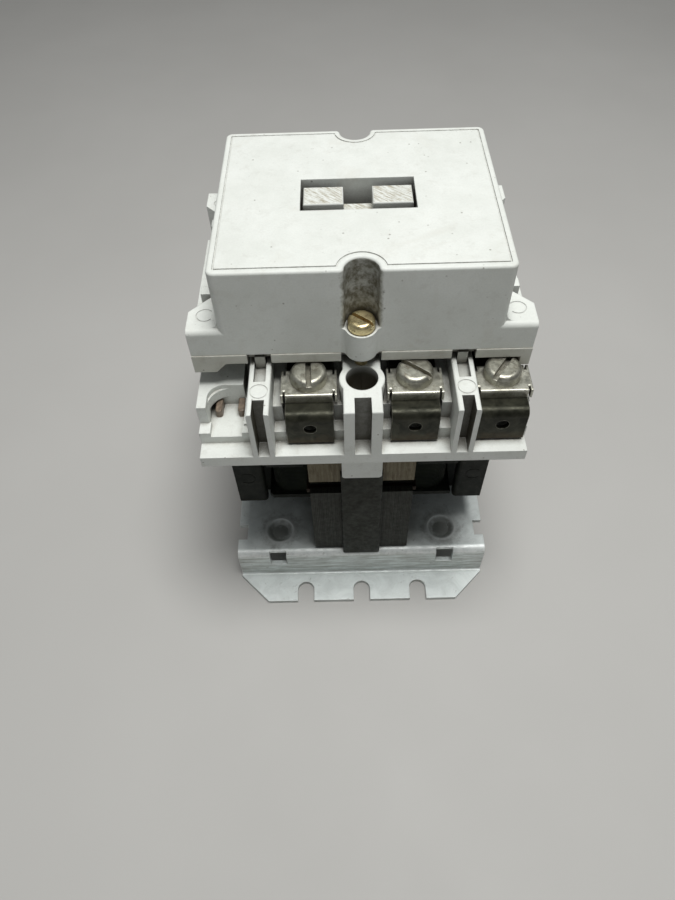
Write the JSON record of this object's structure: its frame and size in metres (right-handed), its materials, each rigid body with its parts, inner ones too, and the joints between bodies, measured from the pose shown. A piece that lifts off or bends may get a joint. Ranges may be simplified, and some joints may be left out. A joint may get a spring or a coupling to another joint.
{
  "type": "contactor",
  "caption": "Rail mounted contactor in pale plastic on a zinc plated foot, with a vacant pole bay and screw clamp terminals at front and rear.",
  "frame": {"origin": "centre of the mounting plane under the base plate's flanges", "axes": "+Z away from the panel, +X along the rail, -Y is the front side whose left pole bay is vacant"},
  "size_m": [0.0762, 0.0914, 0.113],
  "materials": {
    "zinc_steel": "satin",
    "white_plastic": "matte",
    "black_plastic": "matte",
    "core_steel": "matte",
    "armature_steel": "satin",
    "copper": "satin",
    "coil_tape": "matte",
    "rubber": "matte",
    "screw_steel": "satin",
    "plated_clamp": "satin",
    "contact_strip": "satin",
    "silver": "satin",
    "yellow_zinc": "satin",
    "phenolic": "matte",
    "spring_steel": "satin"
  },
  "bodies": {
    "chassis": {"base_plate": "zinc_steel", "rail_hook": "zinc_steel", "latch_guides": "zinc_steel", "latch_spring": "spring_steel", "core_pad": "rubber", "magnet_core": "core_steel", "core_rivets": "screw_steel", "core_guide_straps": "core_steel", "shading_rings": "copper", "coil_bobbin": "black_plastic", "coil_winding": "coil_tape", "coil_terminals": "plated_clamp", "coil_terminal_screws": "screw_steel", "magnet_housing": "black_plastic", "housing_screws": "screw_steel", "contact_base": "white_plastic", "base_screws": "screw_steel", "vacant_pole_insert": "phenolic", "fixed_contact_tips": "silver", "saddle_plates": "plated_clamp", "terminal_screws": "screw_steel", "return_springs": "spring_steel", "mid_frame": "white_plastic", "cover": "white_plastic", "cover_screws": "yellow_zinc", "fixed_contact_2_front": "contact_strip", "fixed_contact_2_rear": "contact_strip", "fixed_contact_3_front": "contact_strip", "fixed_contact_3_rear": "contact_strip", "fixed_contact_4_front": "contact_strip", "fixed_contact_4_rear": "contact_strip"},
    "carriage": {"carrier": "white_plastic", "armature_holder": "black_plastic", "holder_screw": "screw_steel", "armature_cushion": "rubber", "armature": "armature_steel", "armature_rivets": "screw_steel", "armature_key": "zinc_steel", "contact_spring_2": "spring_steel", "contact_spring_3": "spring_steel", "contact_spring_4": "spring_steel"},
    "latch": {"rail_latch": "zinc_steel"},
    "bridge_2": {"contact_bridge_2": "contact_strip", "bridge_tips_2": "silver"},
    "bridge_3": {"contact_bridge_3": "contact_strip", "bridge_tips_3": "silver"},
    "bridge_4": {"contact_bridge_4": "contact_strip", "bridge_tips_4": "silver"}
  },
  "joints": [
    {"name": "carriage_slide", "type": "slide", "parent": "chassis", "child": "carriage", "axis": [0, 0, 1], "range_m": [-0.005, 0], "stiffness_N_per_m": 900, "springref_m": 0.005, "deforming": ["return_springs"]},
    {"name": "latch_slide", "type": "slide", "parent": "chassis", "child": "latch", "axis": [0, -1, 0], "range_m": [0, 0.003], "stiffness_N_per_m": 600, "springref_m": -0.004, "deforming": ["latch_spring"]},
    {"name": "bridge_2_lift", "type": "slide", "parent": "carriage", "child": "bridge_2", "axis": [0, 0, 1], "range_m": [0, 0.0015], "stiffness_N_per_m": 400, "springref_m": -0.002, "deforming": ["contact_spring_2"]},
    {"name": "bridge_3_lift", "type": "slide", "parent": "carriage", "child": "bridge_3", "axis": [0, 0, 1], "range_m": [0, 0.0015], "stiffness_N_per_m": 400, "springref_m": -0.002, "deforming": ["contact_spring_3"]},
    {"name": "bridge_4_lift", "type": "slide", "parent": "carriage", "child": "bridge_4", "axis": [0, 0, 1], "range_m": [0, 0.0015], "stiffness_N_per_m": 400, "springref_m": -0.002, "deforming": ["contact_spring_4"]}
  ]
}
